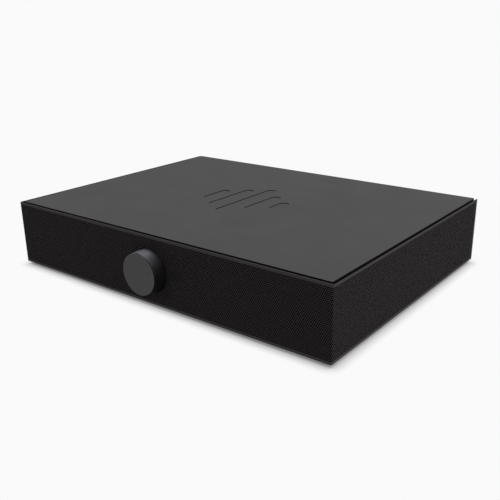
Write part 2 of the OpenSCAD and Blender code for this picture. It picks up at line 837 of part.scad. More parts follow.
// Square socket with a flap; the flap's pins sit in its side walls
module optical_socket() {
    color([0.04, 0.04, 0.04])
    facing_rear(optical_x, socket_z - 6) difference() {
        translate([0, 0, -optical_deep / 2]) cube([optical_side, optical_side, optical_deep + 2], center = true);
        translate([0, 0, 1 - optical_deep / 2]) cube([optical_open, optical_open, optical_deep + 0.01], center = true);
        translate([-6, -shutter_pivot_up, -shutter_pivot_in]) rotate([0, 90, 0])
            cylinder(h = 12, r = shutter_pin_r + 0.05);
    }
}
module optical_shutter() {
    color([0.1, 0.1, 0.1])
    translate([optical_x, panel_y - shutter_pivot_in, socket_z - 6 + shutter_pivot_up]) {
        block([-shutter_w / 2, -shutter_t / 2, -8.6], [shutter_w / 2, shutter_t / 2, 0.4]);
        rotate([0, 90, 0]) translate([0, 0, -shutter_w / 2 - 0.8])
            cylinder(h = shutter_w + 1.6, r = shutter_pin_r);
    }
}

// Square data socket with a tongue
module usb_socket() {
    deep = 14;
    color([0.6, 0.6, 0.62])
    facing_rear(usb_x, socket_z - 6) {
        difference() {
            translate([0, 0, -deep]) linear_extrude(deep + 0.8) square([12, 11], center = true);
            translate([0, 0, -deep + 2]) linear_extrude(deep) polygon([
                [-4.3, 4], [4.3, 4], [4.3, -2.4], [2.8, -4], [-2.8, -4], [-4.3, -2.4]]);
        }
        translate([0, 0, -deep / 2]) cube([5.6, 3.2, deep - 2], center = true);
    }
}

// Outer shell, insulating sleeve set back a little and a hole down the middle
module rca_barrel() {
    difference() {
        union() {
            cylinder(h = rca_out, r = rca_r);
            translate([0, 0, -panel_t - 1]) cylinder(h = panel_t + 1.5, r = rca_r - 0.3);
        }
        translate([0, 0, rca_out - 0.6]) cylinder(h = 1, r = rca_r - 0.7);
        translate([0, 0, rca_out - 8]) cylinder(h = 9, r = 1.6);
    }
}
// Block of sockets standing on the board, one barrel for each height in the list
module rca_block(x, heights) {
    facing_rear(x, 0) for (z = heights) translate([0, -z, 0]) rca_barrel();
    block([x - jack_w / 2, cab_rear - jack_deep, pcb_top], [x + jack_w / 2, cab_rear, pcb_top + jack_h + 4]);
}
module line_jacks() {
    color([0.7, 0.6, 0.35])
        rca_block(line_x, [socket_z - rca_pitch / 2, socket_z + rca_pitch / 2]);
}
module phono_jacks() {
    color([0.7, 0.6, 0.35])
        rca_block(phono_x, [socket_z - rca_pitch / 2, socket_z + rca_pitch / 2]);
}
module sub_jack() {
    color([0.7, 0.6, 0.35])
        rca_block(sub_x, [socket_z + rca_pitch / 2]);
}

// Threaded mouth with a round nut and a deep bore
module headphone_jack() {
    body_l = 13;
    color([0.55, 0.55, 0.57])
    facing_rear(headphone_x, socket_z) difference() {
        union() {
            translate([0, 0, -panel_t - 1]) cylinder(h = panel_t + 1 + 2.5, r = 3);
            cylinder(h = 1.8, r = 5);
            translate([0, 0, -panel_t - body_l / 2]) cube([12, 9, body_l], center = true);
        }
        translate([0, 0, -12]) cylinder(h = 16, r = headphone_r);
    }
}

// Stud with its fixed base, the washer and the knurled nut
module ground_post() {
    color([0.75, 0.6, 0.3])
    facing_rear(ground_x, socket_z) {
        translate([0, 0, -panel_t - 4]) cylinder(h = panel_t + 4 + stud_out, r = stud_r);
        cylinder(h = post_base_h, r = 4.6);
        translate([0, 0, -panel_t - 2.5]) cylinder(h = 2.5, r = 4, $fn = 6);
    }
}
module ground_washer() {
    color([0.75, 0.6, 0.3])
    facing_rear(ground_x, socket_z) translate([0, 0, post_base_h + 0.05]) difference() {
        cylinder(h = washer_t, r = 4.8);
        translate([0, 0, -1]) cylinder(h = washer_t + 2, r = stud_r + 0.08);
    }
}
module ground_nut() {
    knurls = 24;
    color([0.78, 0.64, 0.33])
    facing_rear(ground_x, socket_z) translate([0, 0, post_base_h + washer_t + 0.1]) difference() {
        cylinder(h = nut_h, r = nut_r);
        translate([0, 0, -1]) cylinder(h = nut_h + 2, r = stud_r + 0.06);
        for (i = [0 : knurls - 1])
            rotate(i * 360 / knurls) translate([nut_r, 0, -1]) cylinder(h = nut_h + 2, r = 0.35, $fn = 16);
    }
}

// Slide switch behind a slot in the panel
module input_switch() {
    gap = 0.1;
    color([0.5, 0.5, 0.52])
    facing_rear(input_x, socket_z) difference() {
        translate([0, 0, -panel_t - gap - 3]) cube([20, 7, 6], center = true);
        translate([0, 0, -panel_t - 1]) cube([slot_w, slot_h, 5], center = true);
    }
}
module input_slider() {
    color([0.04, 0.04, 0.04])
    facing_rear(input_x - slider_travel / 2, socket_z)
        translate([0, 0, (2.2 - panel_t - 1) / 2]) cube([slider_w, slider_h, panel_t + 1 + 2.2], center = true);
}

grille();
grille_rails();
top_plate();
plate_pads();
inner_lid();
front_baffle();
left_baffle();
right_baffle();
bottom_panel();
rear_panel();
rear_screws();
bay_wall();
left_partition();
right_partition();
feet();
foot_screws();
knob();
knob_set_screw();
encoder_shaft();
encoder_plunger();
encoder_body();
encoder_nut();
control_board();
left_woofer_basket();
left_woofer_magnet();
left_woofer_cone();
left_woofer_surround();
right_woofer_basket();
right_woofer_magnet();
right_woofer_cone();
right_woofer_surround();
left_tweeter();
left_dome();
right_tweeter();
right_dome();
driver_screws();
main_board();
main_chips();
capacitors();
heat_sink();
power_board();
transformer();
standoffs();
ribbon_cable();
speaker_leads();
mains_inlet();
power_switch();
power_rocker();
optical_socket();
optical_shutter();
usb_socket();
line_jacks();
phono_jacks();
sub_jack();
headphone_jack();
ground_post();
ground_washer();
ground_nut();
input_switch();
input_slider();
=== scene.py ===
import json
import math

import bmesh
import bpy
import numpy as np
from mathutils import Matrix, Vector

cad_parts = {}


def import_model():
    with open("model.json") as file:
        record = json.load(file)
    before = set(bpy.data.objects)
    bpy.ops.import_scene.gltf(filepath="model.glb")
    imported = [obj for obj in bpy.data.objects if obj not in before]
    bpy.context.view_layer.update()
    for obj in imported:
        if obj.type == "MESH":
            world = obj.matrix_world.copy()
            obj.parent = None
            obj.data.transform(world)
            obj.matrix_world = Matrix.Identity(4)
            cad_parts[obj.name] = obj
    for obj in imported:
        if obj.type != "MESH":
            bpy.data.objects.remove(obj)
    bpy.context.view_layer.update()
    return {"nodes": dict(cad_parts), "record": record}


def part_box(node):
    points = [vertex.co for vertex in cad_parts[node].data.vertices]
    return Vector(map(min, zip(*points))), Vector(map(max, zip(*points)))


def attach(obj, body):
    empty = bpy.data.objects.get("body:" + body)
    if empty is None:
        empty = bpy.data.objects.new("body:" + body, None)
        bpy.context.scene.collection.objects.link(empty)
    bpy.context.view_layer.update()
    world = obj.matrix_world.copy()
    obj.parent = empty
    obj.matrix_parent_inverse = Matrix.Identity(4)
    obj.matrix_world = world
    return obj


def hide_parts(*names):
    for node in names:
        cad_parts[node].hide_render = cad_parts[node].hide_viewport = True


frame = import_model()

MM = 0.001
GRILLE_LOW, GRILLE_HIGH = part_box("grille")
BODY_MID = (GRILLE_LOW + GRILLE_HIGH) / 2
KNOB_LOW, KNOB_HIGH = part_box("knob")
KNOB_MID = (KNOB_LOW + KNOB_HIGH) / 2
PANEL_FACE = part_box("rear_panel")[1].y


# ---------- materials ----------

BROAD = 12
ROUGH_SPREAD = 0.06


def node_tree(name):
    """A new material, its node tree and its Principled shader."""
    material = bpy.data.materials.new(name)
    material.use_nodes = True
    return material, material.node_tree, material.node_tree.nodes["Principled BSDF"]


def noise(tree, size, detail, stretch=(1.0, 1.0, 1.0)):
    """Noise whose grains are about size metres across, in the part's own frame."""
    place = tree.nodes.new("ShaderNodeTexCoord")
    scale = tree.nodes.new("ShaderNodeMapping")
    scale.inputs["Scale"].default_value = stretch
    texture = tree.nodes.new("ShaderNodeTexNoise")
    texture.inputs["Scale"].default_value = 1.0 / size
    texture.inputs["Detail"].default_value = detail
    tree.links.new(place.outputs["Object"], scale.inputs["Vector"])
    tree.links.new(scale.outputs["Vector"], texture.inputs["Vector"])
    return texture.outputs["Fac"]


def ramp(tree, fac, low, high):
    """Two colours mixed by fac, which for noise stays mostly between 0.3 and 0.7."""
    node = tree.nodes.new("ShaderNodeValToRGB")
    node.color_ramp.elements[0].position = 0.3
    node.color_ramp.elements[1].position = 0.7
    node.color_ramp.elements[0].color = (*low, 1)
    node.color_ramp.elements[1].color = (*high, 1)
    tree.links.new(fac, node.inputs["Fac"])
    return node.outputs["Color"]


def span(tree, fac, low, high):
    """fac from 0 to 1 spread over low to high."""
    node = tree.nodes.new("ShaderNodeMapRange")
    node.inputs["To Min"].default_value = low
    node.inputs["To Max"].default_value = high
    tree.links.new(fac, node.inputs["Value"])
    return node.outputs["Result"]


def bump(tree, shader, height, strength, depth):
    """Relief of a depth in metres."""
    node = tree.nodes.new("ShaderNodeBump")
    node.inputs["Strength"].default_value = strength
    node.inputs["Distance"].default_value = depth
    tree.links.new(height, node.inputs["Height"])
    tree.links.new(node.outputs["Normal"], shader.inputs["Normal"])


def finish(name, colour, rough=0.5, metal=0.0, specular=0.5, grain=0.002, vary=0.12,
           relief=0.15, depth=0.00005, stretch=(1.0, 1.0, 1.0)):
    """A surface with slight changes of colour and roughness and a fine relief."""
    material, tree, shader = node_tree(name)
    shader.inputs["Metallic"].default_value = metal
    shader.inputs["Specular IOR Level"].default_value = specular
    broad = noise(tree, grain * BROAD, 3, stretch)
    fine = noise(tree, grain, 5, stretch)
    low = [c * (1 - vary) for c in colour]
    high = [min(1.0, c * (1 + vary)) for c in colour]
    tree.links.new(ramp(tree, broad, low, high), shader.inputs["Base Color"])
    uneven = span(tree, fine, rough - ROUGH_SPREAD, rough + ROUGH_SPREAD)
    tree.links.new(uneven, shader.inputs["Roughness"])
    bump(tree, shader, fine, relief, depth)
    return material


def plain(name, colour, rough=0.5, metal=0.0, specular=0.5):
    """An even coat, for sheet whose detail is all in its shape."""
    material, _, shader = node_tree(name)
    shader.inputs["Base Color"].default_value = (*colour, 1)
    shader.inputs["Roughness"].default_value = rough
    shader.inputs["Metallic"].default_value = metal
    shader.inputs["Specular IOR Level"].default_value = specular
    return material


def plate_coat():
    """Matt charcoal coating with a leather-fine pebble grain; upright edges and underside near
    black as painted shade.
    """
    material, tree, shader = node_tree("plate_coat")
    shader.inputs["Specular IOR Level"].default_value = 0.25
    pebbles = tree.nodes.new("ShaderNodeTexVoronoi")
    pebbles.inputs["Scale"].default_value = 1 / 0.0009
    place = tree.nodes.new("ShaderNodeTexCoord")
    tree.links.new(place.outputs["Object"], pebbles.inputs["Vector"])
    broad = noise(tree, 0.05, 3)
    fine = noise(tree, 0.0012, 4)
    coat = ramp(tree, broad, (0.060, 0.060, 0.061), (0.068, 0.068, 0.069))
    # Faces that don't face up take near black: painted shade for the shadowed gap round the plate.
    facing = tree.nodes.new("ShaderNodeNewGeometry")
    parts = tree.nodes.new("ShaderNodeSeparateXYZ")
    tree.links.new(facing.outputs["True Normal"], parts.inputs["Vector"])
    edges = tree.nodes.new("ShaderNodeMix")
    edges.data_type = "RGBA"
    edges.inputs["A"].default_value = (0.0015, 0.0015, 0.0015, 1)
    tree.links.new(parts.outputs["Z"], edges.inputs["Factor"])
    tree.links.new(coat, edges.inputs["B"])
    tree.links.new(edges.outputs["Result"], shader.inputs["Base Color"])
    tree.links.new(span(tree, fine, 0.62, 0.76), shader.inputs["Roughness"])
    bump(tree, shader, pebbles.outputs["Distance"], 0.25, 0.0001)
    return material


MATERIALS = {
    "grille_black": plain("grille_coat", (0.0710, 0.0610, 0.0655), 0.5, specular=0.22),
    "rail_plastic": finish("rail_plastic", (0.003, 0.003, 0.003), 0.8, specular=0.1),
    "plate_black": plate_coat(),
    "soft_pad": finish("soft_pad", (0.015, 0.015, 0.015), 0.9),
    "raw_board": finish("raw_board", (0.30, 0.21, 0.13), 0.85, grain=0.0012, vary=0.2),
    "cabinet_black": finish("cabinet_paint", (0.0025, 0.0024, 0.0024), 0.9, specular=0.05,
                            grain=0.0008),
    "panel_black": finish("panel_coat", (0.046, 0.044, 0.046), 0.6, specular=0.3, vary=0.05,
                          grain=0.0006, relief=0.35),
    "screw_black": finish("screw_oxide", (0.060, 0.060, 0.062), 0.35, 0.7),
    "screw_steel": finish("screw_zinc", (0.45, 0.45, 0.46), 0.35, 1.0),
    "foot_rubber": finish("foot_rubber", (0.012, 0.012, 0.012), 0.85, specular=0.3,
                          grain=0.0007, relief=0.3),
    "knob_grey": finish("knob_face", (0.117, 0.117, 0.121), 0.6, specular=0.25, grain=0.0005,
                        vary=0.05),
    "bare_steel": finish("nickel", (0.55, 0.55, 0.54), 0.28, 1.0),
    "pale_plastic": finish("pale_plastic", (0.62, 0.62, 0.58), 0.5),
    "encoder_metal": finish("tin_plate", (0.45, 0.45, 0.46), 0.4, 1.0),
    "board_green": finish("solder_mask", (0.010, 0.085, 0.030), 0.35, grain=0.003, vary=0.3),
    "board_tan": finish("laminate", (0.35, 0.25, 0.10), 0.5, grain=0.002),
    "motor_black": finish("motor_coat", (0.020, 0.020, 0.021), 0.45, 0.3),
    "dome_cloth": finish("dome_cloth", (0.030, 0.030, 0.032), 0.7, grain=0.0004, relief=0.4),
    "chip_black": finish("chip_mould", (0.012, 0.012, 0.012), 0.55),
    "capacitor_sleeve": finish("capacitor_sleeve", (0.012, 0.015, 0.060), 0.3),
    "bare_aluminium": finish("extruded_aluminium", (0.62, 0.62, 0.63), 0.35, 1.0,
                             stretch=(1, 8, 1)),
    "core_brown": finish("core_laminations", (0.12, 0.09, 0.05), 0.5, 0.4, stretch=(1, 1, 12)),
    "standoff_brass": finish("standoff_brass", (0.60, 0.44, 0.16), 0.3, 1.0),
    "cable_grey": finish("cable_grey", (0.30, 0.30, 0.31), 0.5),
    "lead_red": finish("lead_red", (0.20, 0.012, 0.012), 0.4),
    "socket_black": finish("socket_mould", (0.012, 0.012, 0.012), 0.42, grain=0.0006),
    "rocker_black": finish("rocker_mould", (0.015, 0.015, 0.015), 0.32, grain=0.0006),
    "post_brass": finish("gold_plate", (0.72, 0.52, 0.20), 0.25, 1.0),
    "basket_black": finish("basket_paint", (0.014, 0.014, 0.014), 0.5),
    "magnet_iron": finish("ferrite", (0.035, 0.035, 0.037), 0.5, 0.4),
    "cone_black": finish("pressed_pulp", (0.018, 0.018, 0.019), 0.85, grain=0.0006, relief=0.4),
    "surround_rubber": finish("surround_rubber", (0.010, 0.010, 0.010), 0.5),
}

# Walls of the grille's holes, its back and its side pieces' rims, near black as painted shade; and
# the cloth behind them.
EDGE_SHADE = plain("grille_edge_shade", (0.0012, 0.0010, 0.0011), 0.8, specular=0.02)
CLOTH = finish("scrim_cloth", (0.0014, 0.0013, 0.0013), 0.95, specular=0.02, grain=0.0004)


def dress_frame():
    """Every CAD node gets the finish of its slot in the record."""
    for row in frame["record"]["subparts"]:
        node = frame["nodes"][row["node"]]
        node.data.materials.clear()
        node.data.materials.append(MATERIALS[row["material_slot"]])
        for face in node.data.polygons:
            face.material_index = 0


# ---------- mesh helpers ----------

def finished(name, work, materials, body, smooth=35):
    """Turns a bmesh into a piece that rides on a body, smooth below an angle in degrees."""
    bmesh.ops.recalc_face_normals(work, faces=work.faces)
    mesh = bpy.data.meshes.new(name)
    work.to_mesh(mesh)
    work.free()
    for material in materials:
        mesh.materials.append(material)
    mesh.shade_smooth()
    mesh.set_sharp_from_angle(angle=math.radians(smooth))
    return riding(name, mesh, body)


def riding(name, mesh, body):
    """The mesh as a piece on a body."""
    piece = bpy.data.objects.new(name, mesh)
    bpy.context.scene.collection.objects.link(piece)
    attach(piece, body)
    return piece


def slab(name, low, high, edge, material, body, turn=None):
    """A block with rounded edges; turn is a matrix applied before it is placed."""
    work = bmesh.new()
    low, high = Vector(low), Vector(high)
    bmesh.ops.create_cube(work, size=1.0)
    for vert in work.verts:
        vert.co = Vector([c * s for c, s in zip(vert.co, high - low)])
    bmesh.ops.bevel(work, geom=work.edges[:], offset=edge, segments=2, affect="EDGES", profile=0.5)
    place = Matrix.Translation((low + high) / 2)
    bmesh.ops.transform(work, matrix=place @ turn if turn else place, verts=work.verts)
    return finished(name, work, [material], body)


def turned(name, outline, centre, axis, materials, body, segments=96, bands=None, smooth=35):
    """Turns a closed outline of (radius, height) round an axis.
    bands gives the index of each outline edge's material."""
    axis = Vector(axis).normalized()
    side = axis.orthogonal().normalized()
    other = axis.cross(side)
    work = bmesh.new()
    rays = []
    for i in range(segments):
        a = 2 * math.pi * i / segments
        ray = side * math.cos(a) + other * math.sin(a)
        rays.append([work.verts.new(Vector(centre) + ray * r + axis * h) for r, h in outline])
    count = len(outline)
    for ray, after in zip(rays, rays[1:] + rays[:1]):
        for k in range(count):
            m = (k + 1) % count
            if outline[k][0] == 0 and outline[m][0] == 0:
                continue
            face = work.faces.new((ray[k], after[k], after[m], ray[m]))
            face.material_index = bands[k] if bands else 0
    bmesh.ops.remove_doubles(work, verts=work.verts, dist=1e-7)
    bmesh.ops.dissolve_degenerate(work, dist=1e-8, edges=work.edges)
    return finished(name, work, materials, body, smooth)


# ---------- perforated grille ----------

# Holes stand in staggered rows, each in its own hexagonal cell of the flat sheet.
PITCH = 2.12 * MM
ROW_STEP = PITCH * math.sin(math.radians(60))
CELL_R = PITCH / math.sqrt(3)
HOLE_R = 0.92 * MM
HOLE_SIDES = 8
ROWS = 39
FIRST_ROW = 3.65 * MM
SPARE_CELLS = 4
REAR_MARGIN = 3 * MM
CUTOUT_R = 24.5 * MM
GRILLE_PIECES = ["grille_left_rear", "grille_left_front", "grille_front_left",
                 "grille_front_right", "grille_right_front", "grille_right_rear"]

# The sheet is folded at two edges; lengths along it count from the middle of the front.
SHEET = 0.8 * MM
FOLD_R = 1.2 * MM
FRONT_HALF = (GRILLE_HIGH.x - GRILLE_LOW.x) / 2
STRAIGHT = FRONT_HALF - FOLD_R
BEND = FOLD_R * math.pi / 2
REACH = STRAIGHT + BEND + (GRILLE_HIGH.y - GRILLE_LOW.y) - FOLD_R
HEIGHT = GRILLE_HIGH.z - GRILLE_LOW.z
KNOB_EYE = np.array([0.0, KNOB_MID.z - GRILLE_LOW.z])

MERGE = 1e-7
SLIVER = 1e-11

# Acoustic cloth behind the sheet.
CLOTH_T = 0.15 * MM
CLOTH_GAP = 0.02 * MM
CLOTH_EDGE = 1.5 * MM
CLOTH_REAR_EDGE = 4 * MM
CLOTH_CUTOUT_R = CUTOUT_R + 0.2 * MM
CLOTH_SIDES = 96
EYE_PATCH = 34 * MM
BEND_STEPS = 6


def ring_triangles(outer_angles, inner_angles):
    """Triangles between two rings round one centre, as indices: outer first, then inner."""
    n, m = len(outer_angles), len(inner_angles)

    def ahead(angles, k):
        """Twice the angle midway from point k to the next, counted on past a full turn."""
        return sum(angles[i % len(angles)] + 360 * (i // len(angles)) for i in (k, k + 1))

    i = j = 0
    faces = []
    while i < n or j < m:
        if j >= m or (i < n and ahead(outer_angles, i) <= ahead(inner_angles, j)):
            faces.append((i % n, (i + 1) % n, n + j % m))
            i += 1
        else:
            faces.append((i % n, n + (j + 1) % m, n + j % m))
            j += 1
    return np.array(faces)


def fold(s):
    """Place and outward normal on the sheet's outer face at developed length s from its middle."""
    side = np.sign(s)
    a = np.abs(s)
    turn = np.clip((a - STRAIGHT) / FOLD_R, 0, math.pi / 2)
    back = np.clip(a - STRAIGHT - BEND, 0, None)
    x = side * (np.minimum(a, STRAIGHT) + FOLD_R * np.sin(turn))
    y = FOLD_R * (1 - np.cos(turn)) + back
    return x, y, side * np.sin(turn), -np.cos(turn)


def folded_sheet(name, flat, faces, start, thick, materials, coated_rim=False):
    """Folds a flat mesh of (developed length, height) round the body's three sides.
    start is how far its outer face lies inside the grille's; its edges and back take
    the last material, apart from a coated rim."""
    edges = np.concatenate([faces[:, [0, 1]], faces[:, [1, 2]], faces[:, [2, 0]]]).astype(np.int64)
    n = len(flat)
    key = edges[:, 0] * n + edges[:, 1]
    back_key = edges[:, 1] * n + edges[:, 0]
    rim = edges[~np.isin(key, back_key)]
    x, y, nx, ny = fold(flat[:, 0])
    outward = np.stack([nx, ny, np.zeros(n)], 1)
    front = np.stack([x, y + GRILLE_LOW.y, flat[:, 1] + GRILLE_LOW.z], 1) - start * outward
    walls = np.concatenate([
        np.stack([rim[:, 1], rim[:, 0], rim[:, 0] + n], 1),
        np.stack([rim[:, 1], rim[:, 0] + n, rim[:, 1] + n], 1)])
    verts = np.concatenate([front, front - thick * outward])
    tris = np.concatenate([faces, faces[:, ::-1] + n, walls])

    last = len(materials) - 1
    coated = np.zeros(len(rim), dtype=bool)
    if coated_rim:
        for height in (flat[:, 1].min(), flat[:, 1].max()):
            coated |= (np.abs(flat[rim][:, :, 1] - height) < MERGE).all(1)
    indices = np.full(len(tris), last, dtype=np.int32)
    indices[:len(faces)] = 0
    indices[2 * len(faces):] = np.where(np.concatenate([coated, coated]), 0, last)

    mesh = bpy.data.meshes.new(name)
    mesh.vertices.add(len(verts))
    mesh.vertices.foreach_set("co", verts.astype(np.float32).ravel())
    mesh.loops.add(len(tris) * 3)
    mesh.loops.foreach_set("vertex_index", tris.astype(np.int32).ravel())
    mesh.polygons.add(len(tris))
    mesh.polygons.foreach_set("loop_start", np.arange(0, len(tris) * 3, 3, dtype=np.int32))
    for material in materials:
        mesh.materials.append(material)
    mesh.polygons.foreach_set("material_index", indices)
    mesh.update(calc_edges=True)
    mesh.validate()
    return riding(name, mesh, "chassis")


def perforated_cells():
    """Centres of the flat sheet's cells, and which of them have a hole."""
    columns = int(REACH / PITCH) + SPARE_CELLS
    centres = []
    for row in range(-SPARE_CELLS, ROWS + SPARE_CELLS + 1):
        shift = 0.5 * (row % 2)
        s = (np.arange(-columns, columns + 1) + shift) * PITCH
        centres.append(np.stack([s, np.full_like(s, FIRST_ROW + row * ROW_STEP)], 1))
    centres = np.concatenate(centres)
    inside = (np.abs(centres[:, 0]) < REACH + CELL_R) & (centres[:, 1] > -CELL_R)
    inside &= centres[:, 1] < HEIGHT + CELL_R
    inside &= np.linalg.norm(centres - KNOB_EYE, axis=1) > CUTOUT_R - CELL_R
    centres = centres[inside]
    row = np.round((centres[:, 1] - FIRST_ROW) / ROW_STEP)
    holed = (row >= 0) & (row < ROWS)
    holed &= np.abs(centres[:, 0]) + HOLE_R < REACH - REAR_MARGIN
    return centres, holed


def ring(centres, radius, angles):
    """Points round every centre at the angles, in degrees."""
    a = np.radians(angles)
    return centres[:, None, :] + radius * np.stack([np.cos(a), np.sin(a)], 1)[None]


def trimmed(points):
    """The points, those past the sheet's outline or inside the knob's cut-out put on its edge."""
    off = points - KNOB_EYE
    far = np.linalg.norm(off, axis=2, keepdims=True)
    near = far < CUTOUT_R
    points = np.where(near, KNOB_EYE + off / far * CUTOUT_R, points)
    return np.clip(points, (-REACH, 0), (REACH, HEIGHT))


def merged(flat, faces):
    """The same flat mesh with its coincident points made one."""
    _, first, same = np.unique(np.round(flat / MERGE).astype(np.int64), axis=0,
                               return_index=True, return_inverse=True)
    return flat[first], same.reshape(-1)[faces]


def joined_cells(groups):
    """One flat mesh of the cells in all groups of (outer ring, inner points, triangles)."""
    flat, faces = [], []
    start = 0
    for outer, inner, pattern in groups:
        block = np.concatenate([outer, inner], 1)
        count, width = block.shape[:2]
        base = start + np.arange(count)[:, None, None] * width
        faces.append((base + pattern[None]).reshape(-1, 3))
        flat.append(block.reshape(-1, 2))
        start += count * width
    flat, faces = merged(np.concatenate(flat), np.concatenate(faces))
    a, b, c = (flat[faces[:, k]] for k in range(3))
    area = (b[:, 0] - a[:, 0]) * (c[:, 1] - a[:, 1]) - (b[:, 1] - a[:, 1]) * (c[:, 0] - a[:, 0])
    on_cutout = np.abs(np.linalg.norm(flat - KNOB_EYE, axis=1) - CUTOUT_R) < MERGE
    faces = faces[(area > SLIVER) & ~on_cutout[faces].all(1)]
    used = np.unique(faces)
    renumber = np.full(len(flat), -1)
    renumber[used] = np.arange(len(used))
    return flat[used], renumber[faces]


def grille_sheets():
    """The folded sheet with every hole cut through it, in six pieces."""
    centres, holed = perforated_cells()
    outer_angles = [30 + 60 * k for k in range(6)]
    inner_angles = [180 / HOLE_SIDES + 360 / HOLE_SIDES * k for k in range(HOLE_SIDES)]
    outer = trimmed(ring(centres, CELL_R, outer_angles))
    inner = trimmed(ring(centres, HOLE_R, inner_angles))
    middle = trimmed(centres[:, None, :])
    web = ring_triangles(outer_angles, inner_angles)
    fan = np.array([(k, (k + 1) % 6, 6) for k in range(6)])
    half_side = (FRONT_HALF + REACH) / 2
    cuts = [-REACH * 2, -half_side, -FRONT_HALF, 0, FRONT_HALF, half_side, REACH * 2]
    for name, low, high in zip(GRILLE_PIECES, cuts[:-1], cuts[1:]):
        mine = (centres[:, 0] >= low) & (centres[:, 0] < high)
        with_hole, without = mine & holed, mine & ~holed
        flat, faces = joined_cells([(outer[with_hole], inner[with_hole], web),
                                    (outer[without], middle[without], fan)])
        # Hole walls, the sheet's back and the side pieces' top and bottom edges take the near-black
        # painted shade.
        piece = folded_sheet(name, flat, faces, 0.0, SHEET, [MATERIALS["grille_black"], EDGE_SHADE],
                             coated_rim=name.startswith("grille_front"))
        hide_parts("grille")


def scrim():
    """Black acoustic cloth behind the perforated sheet, with a hole for the knob."""
    low, high = CLOTH_EDGE, HEIGHT - CLOTH_EDGE
    eye = KNOB_EYE[1]
    far = REACH - CLOTH_REAR_EDGE
    flat, faces = [], []

    def strip(stations):
        for s0, s1 in zip(stations[:-1], stations[1:]):
            k = len(flat)
            flat.extend([(s0, low), (s1, low), (s1, high), (s0, high)])
            faces.extend([(k, k + 1, k + 2), (k, k + 2, k + 3)])

    bend = [STRAIGHT + BEND * k / BEND_STEPS for k in range(BEND_STEPS + 1)]
    right = [EYE_PATCH] + bend + [far]
    strip(right)
    strip([-s for s in reversed(right)])

    # The patch round the hole, from points on the hole to points on the patch's outline.
    # The hole's points are shifted a little, so that none meets a corner's.
    shift = 0.7
    corners = [math.atan2(z - eye, s) for s in (-EYE_PATCH, EYE_PATCH) for z in (low, high)]
    angles = sorted(corners + [math.radians(360 * k / CLOTH_SIDES - 180 + shift)
                               for k in range(CLOTH_SIDES)])
    start = len(flat)
    for a in angles:
        c, s = math.cos(a), math.sin(a)
        up = (high - eye) if s > 0 else (eye - low)
        reach = min(EYE_PATCH / max(abs(c), 1e-9), up / max(abs(s), 1e-9))
        flat.extend([(CLOTH_CUTOUT_R * c, eye + CLOTH_CUTOUT_R * s), (reach * c, eye + reach * s)])
    for k in range(len(angles)):
        m = (k + 1) % len(angles)
        a, b, c, d = (start + 2 * k, start + 2 * k + 1, start + 2 * m + 1, start + 2 * m)
        faces.extend([(a, b, c), (a, c, d)])

    flat, faces = merged(np.array(flat), np.array(faces))
    piece = folded_sheet("grille_scrim", flat, faces, SHEET + CLOTH_GAP, CLOTH_T, [CLOTH])


# ---------- knob ----------

def knob():
    """Soft matt face, chamfer near black as painted shade, a lighter band behind it as a painted
    highlight, satin side, hollow at the back.
    """
    radius = (KNOB_HIGH.x - KNOB_LOW.x) / 2
    length = KNOB_HIGH.y - KNOB_LOW.y
    chamfer_w = 0.5 * MM
    lip = 0.15 * MM
    rim = 0.55 * MM
    rounding = 0.1 * MM
    back_edge = 0.3 * MM
    wall = 3.6 * MM
    face_t = 3.5 * MM
    hub_r = 6 * MM
    hub_back = 2 * MM
    bore = 3.03 * MM
    inside = length - face_t
    rim_end = length - chamfer_w - lip
    outline = [
        (0, inside), (bore, inside), (bore, hub_back), (hub_r, hub_back), (hub_r, inside),
        (radius - wall, inside), (radius - wall, 0), (radius - back_edge, 0), (radius, back_edge),
        (radius, rim_end - rim), (radius, rim_end), (radius - rounding, length - chamfer_w),
        (radius - chamfer_w, length - rounding), (radius - chamfer_w - lip, length), (0, length)]
    on_face, on_side, on_chamfer_shade, on_rim_highlight = range(4)
    bands = [on_side] * 9 + [on_rim_highlight] + [on_chamfer_shade] * 2 + [on_face] * 2 + [on_side]
    materials = [
        MATERIALS["knob_grey"],
        finish("knob_side", (0.010, 0.0095, 0.0100), 0.5, specular=0.3, grain=0.0004, vary=0.05),
        # Chamfer band: near black, painted shade.
        finish("knob_chamfer_shade", (0.0005, 0.0005, 0.0005), 0.9, specular=0.0, grain=0.0004),
        # Narrow band behind the chamfer: lighter than the side, a painted highlight.
        finish("knob_rim_highlight", (0.020, 0.020, 0.0205), 0.5, specular=0.4, grain=0.0004, vary=0.05)]
    centre = (KNOB_MID.x, KNOB_HIGH.y, KNOB_MID.z)
    piece = turned("knob_turned", outline, centre, (0, -1, 0), materials, "knob",
                   segments=160, bands=bands, smooth=25)
    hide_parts("knob")
    return piece


# ---------- sockets and controls on the rear panel ----------

OUT = (0, 1, 0)
JACK_OUT = 9 * MM
JACK_DROP = 6.6 * MM
JACK_PITCH = 14 * MM
PIN_SPREAD = 4.3 * MM
PIN_FOOT = 10 * MM
THREAD_PITCH = 0.7 * MM


